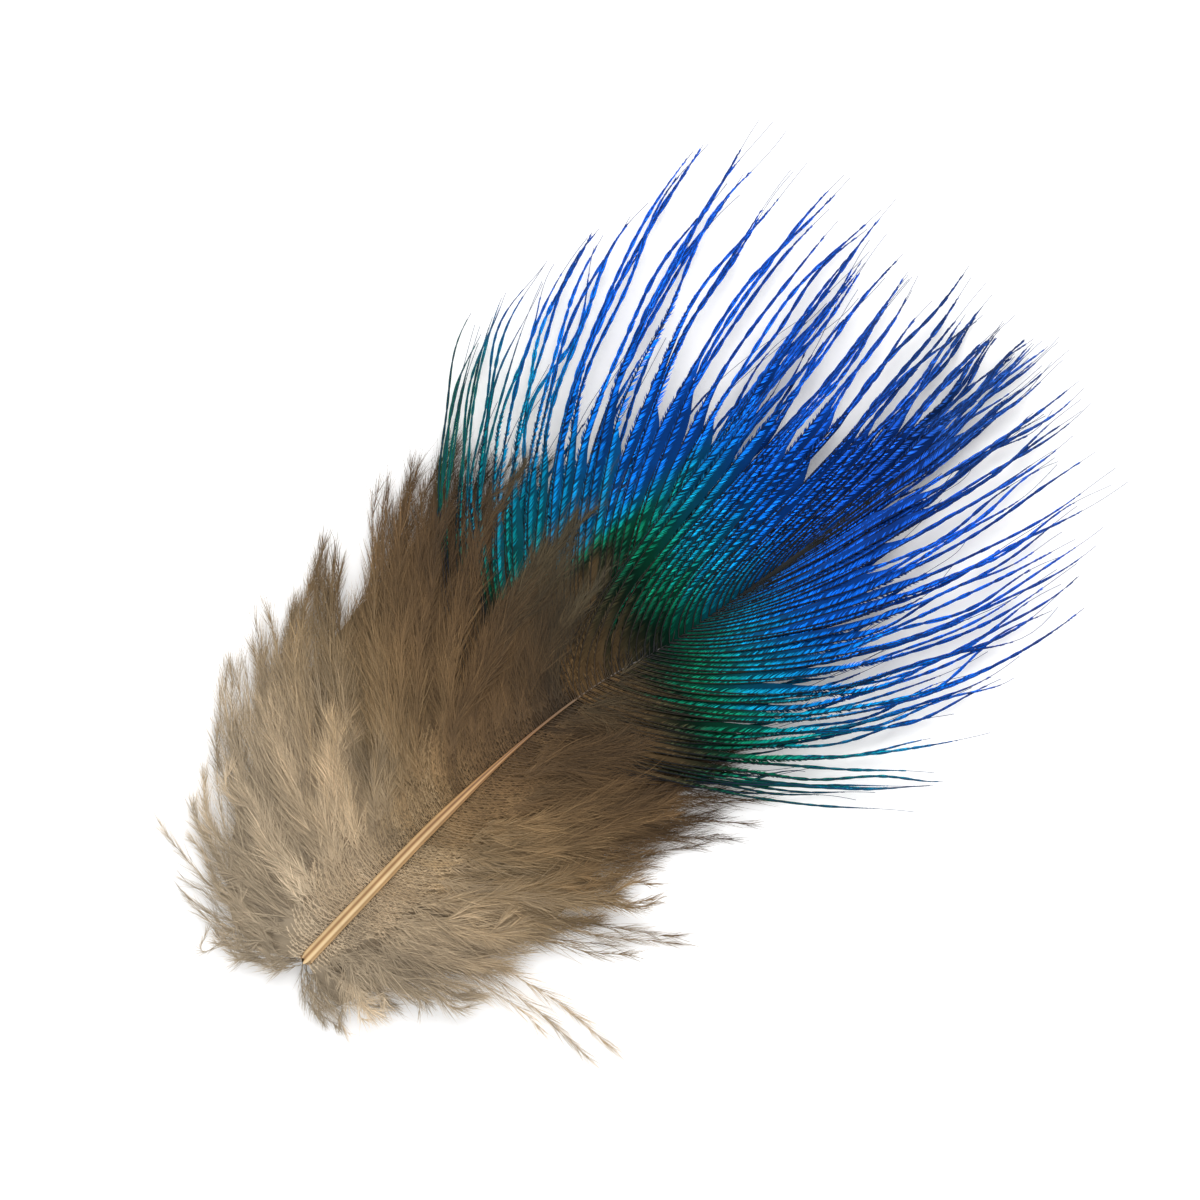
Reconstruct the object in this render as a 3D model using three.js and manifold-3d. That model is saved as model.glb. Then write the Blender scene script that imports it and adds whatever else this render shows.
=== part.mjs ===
// A small blue body feather of a peacock, lying face up on a flat surface.
// Millimetres. +Y runs from the quill to the tips, +X is to the right seen from above, +Z is up.
// The feather grew as one piece: one solid of its shaft, its two vanes and its down.
import * as THREE from 'three';
import { mergeVertices } from 'three/addons/utils/BufferGeometryUtils.js';
import Module from 'manifold-3d';

const wasm = await Module();
wasm.setup();

// Colour of the blue vane, which covers most of what is seen
const FEATHER_BLUE = 0x14549c;

// The middle of the feather's length and width, on the grid that the tables below are measured on
const MIDDLE_X = 0.56;
const MIDDLE_Y = 0.29;

// Shaft: station along the feather, sideways place, height of its axis and radius
const SHAFT = [
  [-35.4, 1.1, 2.4, 0.5],
  [-29.0, 0.9, 3.4, 0.48],
  [-20.0, 0.7, 4.5, 0.42],
  [-11.0, 1.0, 4.9, 0.32],
  [-4.5, 1.9, 4.7, 0.25],
  [1.0, 3.4, 4.2, 0.2],
  [6.0, 4.4, 3.7, 0.17],
  [11.5, 5.3, 3.2, 0.14],
  [15.0, 5.9, 2.9, 0.12],
];

// Barbs of each side: their station on the shaft, angle from +Y at the root and at the tip in degrees,
// length, how late the barb turns, and the share of it that is down
const RIGHT = {
  sign: 1,
  barbs: [
    [-35.0, 150, 100, 5.0, 0.7, 1],
    [-32.5, 112, 60, 7.5, 0.7, 1],
    [-30.0, 92, 48, 13.0, 0.7, 1],
    [-26.0, 78, 42, 17.5, 0.7, 1],
    [-21.0, 66, 36, 18.0, 0.7, 1],
    [-15.0, 60, 36, 18.5, 0.8, 1],
    [-11.0, 65, 47, 29.0, 0.7, 0.5],
    [-9.0, 69, 34, 32.0, 0.75, 0.44],
    [-7.0, 72, 18, 34.5, 0.8, 0.36],
    [-5.0, 71, 10, 37.0, 0.8, 0.27],
    [-2.0, 68, 10, 36.5, 0.65, 0.13],
    [1.0, 58, 12, 34.8, 0.5, 0.04],
    [4.5, 40, 8, 32.0, 0.45, 0],
    [8.0, 22, 6, 28.8, 0.45, 0],
    [11.5, 14, 1, 25.8, 0.5, 0],
  ],
};
const LEFT = {
  sign: -1,
  barbs: [
    [-35.0, 160, 110, 4.5, 0.7, 1],
    [-32.5, 138, 58, 13.5, 0.7, 1],
    [-30.0, 124, 42, 19.0, 0.65, 1],
    [-26.0, 110, 34, 22.5, 0.65, 1],
    [-21.0, 98, 30, 25.0, 0.65, 1],
    [-16.0, 86, 27, 27.0, 0.7, 1],
    [-12.0, 82, 22, 35.0, 0.75, 0.6],
    [-9.0, 82, 16, 38.5, 0.65, 0.45],
    [-6.5, 80, 11, 43.0, 0.5, 0.3],
    [-4.5, 78, 6, 44.5, 0.45, 0.18],
    [-2.5, 70, 2, 42.5, 0.42, 0.1],
    [-0.5, 56, 0, 40.0, 0.4, 0.05],
    [2.5, 33, 2, 36.5, 0.4, 0],
    [6.5, 12, 2, 32.0, 0.5, 0],
    [11.5, 4, -2, 26.5, 0.6, 0],
  ],
};

// Vanes: a thin arched web of barbs side by side, whose ends part into free tips
const VANE_LOW = -13;
const VANE_TOP = 11.5;
const VANE_BARBS = 22;
const VANE_WEB_SHARE = 0.5;
const VANE_THICKNESS = 0.5;
const VANE_RIB = 0.16;
const VANE_ABOVE_SHAFT = 0.1;
const VANE_TIP_HEIGHT = 0.5;
const VANE_DROOP = 1.3;
const FREE_FROM_SHARE = 0.42;
const BARB_HALF_WIDTH = [0.36, 0.1];
const BARB_HALF_HEIGHT = [0.2, 0.1];

// Down: a soft bed that is flat underneath, ruffled on top and ends all round in pointed locks
const DOWN_LOW = -35;
const DOWN_TOP = -3;
const DOWN_LOCKS = 20;
const DOWN_BED_SHARE = 0.82;
const DOWN_RUFFLE = 0.35;
const DOWN_EDGE_HEIGHT = 1.3;
const DOWN_BELOW_SHAFT = 0.5;
const DOWN_SWELL = 0.7;
const DOWN_DROOP = 1.6;
const DOWN_BLEND = 3;
const LOCK_ROOT_SHARE = 0.66;
const LOCK_TIP_SHARES = [1, 0.93, 1.06];
const LOCK_HALF_WIDTH = 0.75;
const LOCK_HALF_HEIGHT = 0.55;
const LOCK_ROOT_DEPTH = 0.6;
const LOCK_TIP_HEIGHT = 0.5;
const LOCK_TIP_SCALE = 0.12;

// The beds and webs of both sides reach this far past the shaft's axis, so that they join
const OVERLAP = 0.15;
const CURVE_STEPS = 24;

// Value of one column of a table at a station, on a smooth curve through its rows
function smooth(rows, station, column) {
  const last = rows.length - 1;
  let low = 0;
  while (low < last - 1 && rows[low + 1][0] < station) {
    low += 1;
  }
  const slope = (i) => {
    const before = rows[Math.max(i - 1, 0)];
    const after = rows[Math.min(i + 1, last)];
    return (after[column] - before[column]) / (after[0] - before[0]);
  };
  const span = rows[low + 1][0] - rows[low][0];
  const t = Math.min(Math.max((station - rows[low][0]) / span, 0), 1);
  const start = rows[low][column];
  const end = rows[low + 1][column];
  const rest = 1 - t;
  return (1 + 2 * t) * rest * rest * start + t * rest * rest * span * slope(low)
    + t * t * (3 - 2 * t) * end - t * t * rest * span * slope(low + 1);
}

function shaftAt(station) {
  return new THREE.Vector3(smooth(SHAFT, station, 1), station, smooth(SHAFT, station, 2));
}

// Point of a barb at a share of its length, and its heading there; the height is the caller's
function barbAt(side, station, share) {
  const [start, end, length, bend] = [1, 2, 3, 4].map((column) => smooth(side.barbs, station, column));
  const headingAt = (t) => THREE.MathUtils.degToRad(start + (end - start) * t ** bend);
  const point = shaftAt(station);
  const step = (length * share) / CURVE_STEPS;
  for (let i = 0; i < CURVE_STEPS; i += 1) {
    const heading = headingAt(((i + 0.5) / CURVE_STEPS) * share);
    point.x += side.sign * Math.sin(heading) * step;
    point.y += Math.cos(heading) * step;
  }
  const heading = headingAt(share);
  return { point, forward: new THREE.Vector2(side.sign * Math.sin(heading), Math.cos(heading)) };
}

// Height of the upper side of the vane and of the down at a share of a barb
function vaneHeight(station, share) {
  return THREE.MathUtils.lerp(shaftAt(station).z + VANE_ABOVE_SHAFT, VANE_TIP_HEIGHT, share ** VANE_DROOP);
}

// Below the vane's web the down fills up to the middle of the web
function downHeight(side, station, share) {
  const reach = share / smooth(side.barbs, station, 5);
  const swell = DOWN_SWELL * Math.sin(Math.PI * Math.min(reach, 1));
  const root = shaftAt(station).z - DOWN_BELOW_SHAFT;
  const open = THREE.MathUtils.lerp(root, DOWN_EDGE_HEIGHT, reach ** DOWN_DROOP) + swell;
  return THREE.MathUtils.lerp(open, vaneHeight(station, share) - VANE_THICKNESS / 2, underVane(station));
}

function underVane(station) {
  return THREE.MathUtils.smoothstep(station, VANE_LOW - DOWN_BLEND, VANE_LOW);
}

// A solid of a closed geometry, after each of its points is moved to the place given
function bent(geometry, place) {
  const positions = geometry.getAttribute('position');
  for (let i = 0; i < positions.count; i += 1) {
    const point = place(positions.getX(i), positions.getY(i), positions.getZ(i));
    positions.setXYZ(i, point.x, point.y, point.z);
  }
  geometry.deleteAttribute('normal');
  geometry.deleteAttribute('uv');
  const merged = mergeVertices(geometry, 1e-4);
  return new wasm.Manifold(new wasm.Mesh({
    numProp: 3,
    vertProperties: Float32Array.from(merged.getAttribute('position').array),
    triVerts: Uint32Array.from(merged.getIndex().array),
  }));
}

function shaftSolid() {
  const bottom = SHAFT[0][0];
  const length = SHAFT[SHAFT.length - 1][0] - bottom;
  return bent(new THREE.CylinderGeometry(1, 1, 1, 6, 12), (x, y, z) => {
    const station = bottom + (y + 0.5) * length;
    const radius = smooth(SHAFT, station, 3);
    return shaftAt(station).add(new THREE.Vector3(x * radius, 0, z * radius));
  });
}

// A sheet between two stations of a side: across it runs the shaft, along it run the barbs
function sheet(side, low, high, columns, rows, heights) {
  return bent(new THREE.BoxGeometry(1, 1, 1, columns, rows, 1), (x, y, z) => {
    const across = 0.5 - side.sign * x;
    const along = y + 0.5;
    const station = low + across * (high - low);
    const { top, bottom, share } = heights(station, along, Math.round(across * columns));
    const { point } = barbAt(side, station, share);
    point.x -= side.sign * OVERLAP * (1 - along);
    point.z = z > 0 ? top : bottom;
    return point;
  });
}

function vaneWeb(side) {
  return sheet(side, VANE_LOW, VANE_TOP, 2 * VANE_BARBS, 3, (station, along, column) => {
    const share = VANE_WEB_SHARE * along;
    const rib = column % 2 === 0 ? 0 : VANE_RIB;
    const top = vaneHeight(station, share) + rib;
    return { share, top, bottom: top - VANE_THICKNESS };
  });
}

function downBed(side) {
  return sheet(side, DOWN_LOW, DOWN_TOP, 2 * DOWN_LOCKS, 4, (station, along, column) => {
    const share = DOWN_BED_SHARE * along * smooth(side.barbs, station, 5);
    const ruffle = (column % 2 === 0 ? -DOWN_RUFFLE : DOWN_RUFFLE) * (1 - underVane(station));
    return { share, top: downHeight(side, station, share) + ruffle * along, bottom: 0 };
  });
}

// A geometry one unit long, laid along a barb between two shares of it
function laidAlong(side, station, geometry, shares, size) {
  return bent(geometry, (x, y, z) => {
    const along = y + 0.5;
    const share = THREE.MathUtils.lerp(shares[0], shares[1], along);
    const { point, forward } = barbAt(side, station, share);
    const { halfWidth, halfHeight, height } = size(share, along);
    point.x += forward.y * x * halfWidth;
    point.y -= forward.x * x * halfWidth;
    point.z = Math.max(height + z * halfHeight, 0);
    return point;
  });
}

function freeBarb(side, station) {
  const strip = new THREE.CylinderGeometry(1, 1, 1, 3, 4);
  return laidAlong(side, station, strip, [FREE_FROM_SHARE, 1], (share, along) => ({
    halfWidth: THREE.MathUtils.lerp(...BARB_HALF_WIDTH, along),
    halfHeight: THREE.MathUtils.lerp(...BARB_HALF_HEIGHT, along),
    height: vaneHeight(station, share) - VANE_THICKNESS / 2,
  }));
}

function downLock(side, station, tipShare) {
  const cone = new THREE.CylinderGeometry(LOCK_TIP_SCALE, 1, 1, 5, 3);
  const shares = [LOCK_ROOT_SHARE, tipShare].map((share) => share * smooth(side.barbs, station, 5));
  const rootHeight = downHeight(side, station, shares[0]) - LOCK_ROOT_DEPTH;
  return laidAlong(side, station, cone, shares, (share, along) => ({
    halfWidth: LOCK_HALF_WIDTH,
    halfHeight: LOCK_HALF_HEIGHT,
    height: THREE.MathUtils.lerp(rootHeight, LOCK_TIP_HEIGHT, along),
  }));
}

// Evenly spread stations, each in the middle of its share of the span
function stations(low, high, count) {
  return Array.from({ length: count }, (_, i) => low + ((i + 0.5) / count) * (high - low));
}

function sideSolids(side) {
  return [
    vaneWeb(side),
    downBed(side),
    ...stations(VANE_LOW, VANE_TOP, VANE_BARBS).map((station) => freeBarb(side, station)),
    ...stations(DOWN_LOW, DOWN_TOP, DOWN_LOCKS).map((station, i) => (
      downLock(side, station, LOCK_TIP_SHARES[i % LOCK_TIP_SHARES.length])
    )),
  ];
}

function geometryOf(solid) {
  const { vertProperties, triVerts } = solid.getMesh();
  const geometry = new THREE.BufferGeometry();
  geometry.setAttribute('position', new THREE.BufferAttribute(vertProperties, 3));
  geometry.setIndex(new THREE.BufferAttribute(triVerts, 1));
  geometry.translate(-MIDDLE_X, -MIDDLE_Y, 0);
  geometry.computeVertexNormals();
  return geometry;
}

const sides = [...sideSolids(LEFT), ...sideSolids(RIGHT)];
const whole = sides.reduce((joined, solid) => joined.add(solid), shaftSolid());
const material = new THREE.MeshStandardMaterial({ color: FEATHER_BLUE, roughness: 0.5, metalness: 0.3 });
const feather = new THREE.Mesh(geometryOf(whole), material);
feather.name = 'feather';

const group = new THREE.Group();
group.add(feather);
export default group;
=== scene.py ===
"""A small blue body feather of a peacock, lying face up: every barb and barbule as fine mesh."""
import math
from collections import namedtuple

import bpy
import numpy as np
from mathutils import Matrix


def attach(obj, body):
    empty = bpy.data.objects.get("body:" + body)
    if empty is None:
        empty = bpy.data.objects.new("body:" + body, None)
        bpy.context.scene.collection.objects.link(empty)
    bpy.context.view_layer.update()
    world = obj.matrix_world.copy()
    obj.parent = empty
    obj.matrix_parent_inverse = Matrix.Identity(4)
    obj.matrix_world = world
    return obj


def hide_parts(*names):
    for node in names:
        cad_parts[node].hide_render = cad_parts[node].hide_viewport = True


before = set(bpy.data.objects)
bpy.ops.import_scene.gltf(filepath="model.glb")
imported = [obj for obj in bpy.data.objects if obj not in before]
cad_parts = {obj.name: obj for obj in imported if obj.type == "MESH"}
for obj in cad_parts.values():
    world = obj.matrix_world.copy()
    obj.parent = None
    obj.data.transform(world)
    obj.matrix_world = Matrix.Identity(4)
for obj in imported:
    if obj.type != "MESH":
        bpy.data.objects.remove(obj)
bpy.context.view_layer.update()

# All sizes are in millimetres, as in the CAD source, until a mesh is made. The place MIDDLE of the
# source's grid then becomes the origin
MM = 0.001
MIDDLE = np.array([0.56, 0.29, 0.0])
UP = np.array([0.0, 0.0, 1.0])

# Shaft: station along the feather, sideways place, height of its axis and radius
SIDEWAYS, HEIGHT, RADIUS = 1, 2, 3
SHAFT = [
    (-35.4, 1.1, 2.4, 0.5),
    (-29.0, 0.9, 3.4, 0.48),
    (-20.0, 0.7, 4.5, 0.42),
    (-11.0, 1.0, 4.9, 0.32),
    (-4.5, 1.9, 4.7, 0.25),
    (1.0, 3.4, 4.2, 0.2),
    (6.0, 4.4, 3.7, 0.17),
    (11.5, 5.3, 3.2, 0.14),
    (15.0, 5.9, 2.9, 0.12),
]

# Barbs of each side: their station on the shaft, angle from +Y at the root and at the tip in
# degrees, length, how late the barb turns, and the share of it that is down
ROOT_ANGLE, TIP_ANGLE, LENGTH, BEND, DOWNY = 1, 2, 3, 4, 5
RIGHT = {
    "sign": 1,
    "barbs": [
        (-35.0, 160, 102, 5.0, 0.7, 1),
        (-32.5, 112, 60, 7.5, 0.7, 1),
        (-30.0, 92, 48, 13.0, 0.7, 1),
        (-26.0, 78, 42, 17.5, 0.7, 1),
        (-21.0, 66, 36, 18.0, 0.7, 1),
        (-15.0, 60, 36, 18.5, 0.8, 1),
        (-11.0, 65, 47, 29.0, 0.7, 0.5),
        (-9.0, 69, 34, 32.0, 0.75, 0.44),
        (-7.0, 72, 18, 34.5, 0.8, 0.36),
        (-5.0, 71, 10, 37.0, 0.8, 0.27),
        (-2.0, 68, 10, 36.5, 0.65, 0.13),
        (1.0, 58, 12, 34.8, 0.5, 0.04),
        (4.5, 40, 8, 32.0, 0.45, 0),
        (8.0, 22, 6, 28.8, 0.45, 0),
        (11.5, 14, 2, 25.8, 0.5, 0),
        (14.5, 5, 1, 22.8, 0.5, 0),
    ],
}
LEFT = {
    "sign": -1,
    "barbs": [
        (-35.0, 164, 110, 4.5, 0.7, 1),
        (-32.5, 138, 58, 13.5, 0.7, 1),
        (-30.0, 124, 42, 19.0, 0.65, 1),
        (-26.0, 110, 34, 22.5, 0.65, 1),
        (-21.0, 98, 30, 25.0, 0.65, 1),
        (-16.0, 86, 27, 27.0, 0.7, 1),
        (-12.0, 82, 22, 35.0, 0.75, 0.6),
        (-9.0, 82, 16, 38.5, 0.65, 0.45),
        (-6.5, 80, 11, 43.0, 0.5, 0.3),
        (-4.5, 78, 6, 44.5, 0.45, 0.18),
        (-2.5, 70, 2, 42.5, 0.42, 0.1),
        (-0.5, 56, 0, 40.0, 0.4, 0.05),
        (2.5, 33, 2, 36.5, 0.4, 0),
        (6.5, 12, 2, 32.0, 0.5, 0),
        (11.5, 4, -2, 26.5, 0.6, 0),
    ],
}
SIDES = {"left": LEFT, "right": RIGHT}

# Hooked barbs leave the shaft steeply and soon run along it; their fifth number is the distance in
# millimetres over which they turn. The first lie over the left vane, the others over the down
LEFT_INNER = {
    "sign": -1,
    "hooked": True,
    "barbs": [
        (-7.5, 64, -1, 44.0, 5.6, 0.15),
        (-5.0, 62, -1, 42.0, 4.8, 0.1),
        (-2.5, 60, -1, 40.0, 4.0, 0.05),
        (0.0, 56, -1, 38.0, 3.3, 0),
        (2.5, 50, -2, 35.5, 2.6, 0),
        (5.0, 40, -3, 33.0, 2.2, 0),
        (8.5, 22, -5, 29.5, 2.0, 0),
        (11.5, 12, -7, 26.0, 2.0, 0),
        (14.5, 4, -9, 23.0, 2.0, 0),
    ],
}
LEFT_TUFTS = {
    "sign": -1,
    "hooked": True,
    "barbs": [
        (-34.0, 140, 50, 9.0, 7.0, 1),
        (-28.0, 112, 30, 15.0, 6.5, 1),
        (-22.0, 96, 12, 23.0, 5.8, 1),
        (-16.0, 86, 3, 27.0, 5.4, 1),
        (-11.0, 80, 0, 21.5, 5.0, 1),
        (-7.0, 76, -2, 11.0, 3.8, 1),
        (-3.0, 70, -2, 4.0, 3.0, 1),
    ],
}
RIGHT_TUFTS = {
    "sign": 1,
    "hooked": True,
    "barbs": [
        (-34.0, 120, 50, 7.0, 6.0, 1),
        (-30.0, 100, 42, 12.0, 6.5, 1),
        (-26.0, 88, 28, 18.0, 6.0, 1),
        (-21.0, 76, 15, 22.0, 5.5, 1),
        (-16.0, 70, 9, 17.0, 5.0, 1),
        (-12.0, 66, 6, 13.5, 4.6, 1),
        (-8.0, 66, 4, 8.5, 4.0, 1),
        (-4.0, 62, 2, 2.5, 3.0, 1),
    ],
}
TUFTS = {"left": LEFT_TUFTS, "right": RIGHT_TUFTS}

# Heights of the vane over the surface, as in the CAD source
VANE_ABOVE_SHAFT = 0.1
VANE_TIP_HEIGHT = 0.5
VANE_DROOP = 1.3

# Share of a barb's length at each point of its curve, lengths of its slow waves as such shares, and
# the least height of its axis over the surface
CURVE_STEPS = 40
SHARE = np.linspace(0, 1, CURVE_STEPS + 1)
WAVES = (0.35, 0.8)
BARB_LOWEST = 0.25


def smooth(rows, stations, column):
    """Values of one column at many stations, on the CAD source's smooth curve through the rows."""
    table = np.asarray(rows, float)
    places, values = table[:, 0], table[:, column]
    before = np.maximum(np.arange(len(places)) - 1, 0)
    after = np.minimum(np.arange(len(places)) + 1, len(places) - 1)
    slopes = (values[after] - values[before]) / (places[after] - places[before])
    low = np.clip(np.searchsorted(places, stations) - 1, 0, len(places) - 2)
    span = places[low + 1] - places[low]
    t = np.clip((stations - places[low]) / span, 0, 1)
    rest = 1 - t
    start = (1 + 2 * t) * rest * rest * values[low] + t * rest * rest * span * slopes[low]
    end = t * t * (3 - 2 * t) * values[low + 1] - t * t * rest * span * slopes[low + 1]
    return start + end


def shaft_at(stations):
    """Points on the shaft's axis."""
    sideways, height = (smooth(SHAFT, stations, column) for column in (SIDEWAYS, HEIGHT))
    return np.stack([sideways, stations, height], axis=-1)


def ease(values, low, high):
    """Smooth rise from 0 at low to 1 at high."""
    t = np.clip((values - low) / (high - low), 0, 1)
    return t * t * (3 - 2 * t)


def unit(vectors):
    """The vectors at length 1."""
    return vectors / np.maximum(np.linalg.norm(vectors, axis=-1, keepdims=True), 1e-9)


def leftward(headings):
    """Level vectors to the left of the headings."""
    return np.stack([-headings[..., 1], headings[..., 0], np.zeros(headings.shape[:-1])], axis=-1)


def barb_curves(side, stations, turn=0.0, stretch=1.0, sweep=1.0):
    """Flat curves of barbs, as points (barb, step, xyz) at the shaft's height; turn is in degrees."""
    columns = (ROOT_ANGLE, TIP_ANGLE, LENGTH, BEND)
    start, end, length, bend = (smooth(side["barbs"], stations, column)[:, None] for column in columns)
    each = (np.broadcast_to(part, stations.shape)[:, None] for part in (turn, stretch, sweep))
    turn, stretch, sweep = each
    middles = (np.arange(CURVE_STEPS) + 0.5) / CURVE_STEPS
    turned = 1 - np.exp(-middles * length / bend / sweep) if "hooked" in side else middles**bend
    angles = np.radians(start + (end - start) * turned + turn * middles)
    steps = length * stretch / CURVE_STEPS
    moves = [side["sign"] * np.sin(angles) * steps, np.cos(angles) * steps, np.zeros_like(angles)]
    roots = shaft_at(stations)[:, None]
    return np.concatenate([roots, roots + np.cumsum(np.stack(moves, axis=-1), axis=1)], axis=1)


def waves(rng, count, size):
    """Slow sideways wander for each barb along its share, 0 at its root."""
    total = np.zeros((count, CURVE_STEPS + 1))
    for wave in WAVES:
        phase = rng.uniform(0, 2 * np.pi, (count, 1))
        total += rng.normal(0, size, (count, 1)) * np.sin(SHARE / wave * 2 * np.pi + phase)
    return (total - total[:, :1]) * SHARE**1.2


def sidestep(curves, offsets):
    """Moves curves sideways, in the plane, by an offset for each point."""
    forward = unit(np.gradient(curves, axis=1))
    return curves + unit(leftward(forward)) * offsets[..., None]


def sample(curve, shares):
    """Points and headings of one curve at shares of its length."""
    headings = np.gradient(curve, axis=0)
    points = np.stack([np.interp(shares, SHARE, curve[:, axis]) for axis in range(3)], axis=1)
    forward = np.stack([np.interp(shares, SHARE, headings[:, axis]) for axis in range(3)], axis=1)
    return points, unit(forward)


# Mesh parts: vertices, triangles, and the numbers that the materials read at each vertex. A piece has
# two materials, for its fine barbules and for the spines that carry them
FINE, SPINE = 0, 1
THREAD_SIDES = 3

# A blade's corners are two at its root, two halfway and one at its tip
BLADE_STEPS = np.array([0.0, 0.5])[:, None]
BLADE_TRIANGLES = np.array([(0, 1, 3), (0, 3, 2), (2, 3, 4)])
BLADE_ALONG = np.array([0.0, 0.0, 0.5, 0.5, 1.0])
BLADE_CORNERS = len(BLADE_ALONG)
BLADE_TAPER = 0.6


def quads(a, b, c, d):
    """Two triangles for each face, from arrays of its four corners."""
    return np.stack([np.stack([a, b, c], axis=-1), np.stack([a, c, d], axis=-1)]).reshape(-1, 3)


def blades(root, heading, bend, facing, length, width):
    """Flat pointed blades that curve along heading + bend."""
    reach = heading[:, None] * BLADE_STEPS + bend[:, None] * BLADE_STEPS**2
    centre = root[:, None] + reach * length[:, None, None]
    sideways = unit(np.cross(heading, facing))[:, None]
    across = sideways * (width[:, None, None] / 2) * (1 - BLADE_TAPER * BLADE_STEPS)
    pairs = np.stack([centre - across, centre + across], axis=2).reshape(len(root), -1, 3)
    tip = (root + (heading + bend) * length[:, None])[:, None]
    vertices = np.concatenate([pairs, tip], axis=1)
    first = (np.arange(len(root)) * BLADE_CORNERS)[:, None, None]
    return vertices.reshape(-1, 3), (first + BLADE_TRIANGLES).reshape(-1, 3)


def threads(curves, radii, sides=THREAD_SIDES):
    """Thin tubes along curves (barb, step, xyz), with a radius for each point."""
    count, steps = curves.shape[:2]
    forward = unit(np.gradient(curves, axis=1))
    across = unit(np.cross(forward, UP))
    up = np.cross(across, forward)
    angles = around(sides)
    ring = across[:, :, None] * np.cos(angles)[:, None] + up[:, :, None] * np.sin(angles)[:, None]
    vertices = curves[:, :, None] + ring * radii[:, :, None, None]
    index = np.arange(count * steps * sides).reshape(count, steps, sides)
    a, b = index[:, :-1], index[:, 1:]
    c, d = np.roll(b, -1, axis=2), np.roll(a, -1, axis=2)
    return vertices.reshape(-1, 3), quads(a, b, c, d)


def around(sides):
    """Angles of a tube's corners, from the one on top."""
    return np.arange(sides) / sides * 2 * np.pi + np.pi / 2


class Parts:
    """Gathers the meshes of one piece and joins them in one object."""

    def __init__(self):
        self.vertices, self.triangles, self.slots = [], [], []
        self.numbers = {"hue": [], "shade": [], "reach": []}
        self.count = 0

    def add(self, vertices, triangles, slot, hue, shade, reach):
        """Adds a mesh, with each number as one value or as one for each vertex."""
        self.vertices.append(vertices)
        self.triangles.append(triangles + self.count)
        self.slots.append(np.full(len(triangles), slot))
        for name, values in (("hue", hue), ("shade", shade), ("reach", reach)):
            self.numbers[name].append(np.broadcast_to(values, (len(vertices),)))
        self.count += len(vertices)

    def add_blades(self, root, heading, bend, facing, length, width, hue, shade, heights=None):
        """Adds blades as barbules, held between two heights where those are given."""
        vertices, triangles = blades(root, heading, bend, facing, length, width)
        if heights:
            vertices[:, 2] = np.clip(vertices[:, 2], *heights)
        hue, shade = np.repeat(hue, BLADE_CORNERS), np.repeat(shade, BLADE_CORNERS)
        self.add(vertices, triangles, FINE, hue, shade, np.tile(BLADE_ALONG, len(root)))

    def cover(self, triangles, slot):
        """Adds faces between vertices that the piece already has."""
        self.triangles.append(np.array(triangles))
        self.slots.append(np.full(len(triangles), slot))

    def build(self, name, materials):
        """The piece as one Blender object, in place of the CAD's feather."""
        vertices = (np.concatenate(self.vertices) - MIDDLE) * MM
        triangles = np.concatenate(self.triangles)
        mesh = bpy.data.meshes.new(name)
        mesh.vertices.add(len(vertices))
        mesh.vertices.foreach_set("co", vertices.astype(np.float32).ravel())
        mesh.loops.add(triangles.size)
        mesh.loops.foreach_set("vertex_index", triangles.astype(np.int32).ravel())
        mesh.polygons.add(len(triangles))
        mesh.polygons.foreach_set("loop_start", np.arange(0, triangles.size, 3, dtype=np.int32))
        mesh.polygons.foreach_set("material_index", np.concatenate(self.slots).astype(np.int32))
        for key, values in self.numbers.items():
            attribute = mesh.attributes.new(key, "FLOAT", "POINT")
            attribute.data.foreach_set("value", np.concatenate(values).astype(np.float32))
        for material in materials:
            mesh.materials.append(material)
        mesh.update()
        mesh.validate()
        add_flat_map(mesh)
        piece = bpy.data.objects.new(name, mesh)
        bpy.context.scene.collection.objects.link(piece)
        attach(piece, "root")
        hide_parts("feather")


def add_flat_map(mesh):
    """A UV map seen from straight above, so that each barb has its own place on it."""
    corners = np.empty(len(mesh.loops), np.int32)
    mesh.loops.foreach_get("vertex_index", corners)
    places = np.empty(len(mesh.vertices) * 3, np.float32)
    mesh.vertices.foreach_get("co", places)
    flat = places.reshape(-1, 3)[:, :2]
    low, high = flat.min(axis=0), flat.max(axis=0)
    spread = (flat - low) / (high - low).max()
    layer = mesh.uv_layers.new(name="OFBake")
    layer.data.foreach_set("uv", spread[corners].ravel())


# Vane


# A set of vane barbs: the rows it follows, first and last station, how many, turn of their ends and
# its spread in degrees, least and greatest stretch, height over the vane, brightness (the sets that lie
# lower are darker with painted shade), least and greatest share where their barbules end, half width
# of the strands, share where they let go
VaneSet = namedtuple("VaneSet", "rows stations count turn stretch height bright last width let_go")
VANE_SETS = {
    "left": [
        VaneSet(LEFT, (-13.0, 2.0), 18, (0, 8), (0.55, 0.86), -0.6, 0.7, (0.7, 0.9), 0.22, 0.2),
        VaneSet(LEFT, (-13.5, 0.5), 43, (0, 2.2), (0.86, 1.04), -0.2, 1.0, (0.88, 1.0), 0.26, 0.5),
        VaneSet(LEFT_INNER, (-7.5, 14.3), 33, (11, 2.5), (0.84, 1.01), 0.25, 1, (0.88, 1), 0.27, 0.54),
    ],
    "right": [
        VaneSet(RIGHT, (-13.0, 8.0), 24, (0, 8), (0.55, 0.86), -0.4, 0.7, (0.7, 0.9), 0.22, 0.2),
        VaneSet(RIGHT, (-13.5, 14.3), 72, (0, 2.6), (0.86, 1.07), 0.0, 1.0, (0.86, 0.98), 0.18, 0.45),
    ],
}

# Barbs whose tips lean together in one group: the least number, and one more than the greatest
GROUP_SIZES = (3, 7)

# Strands: the share over which a barb lets go of the next one, and the length of their spindles
LETTING_GO = 0.14
SPINDLES = (1.1, 1.8)
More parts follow.
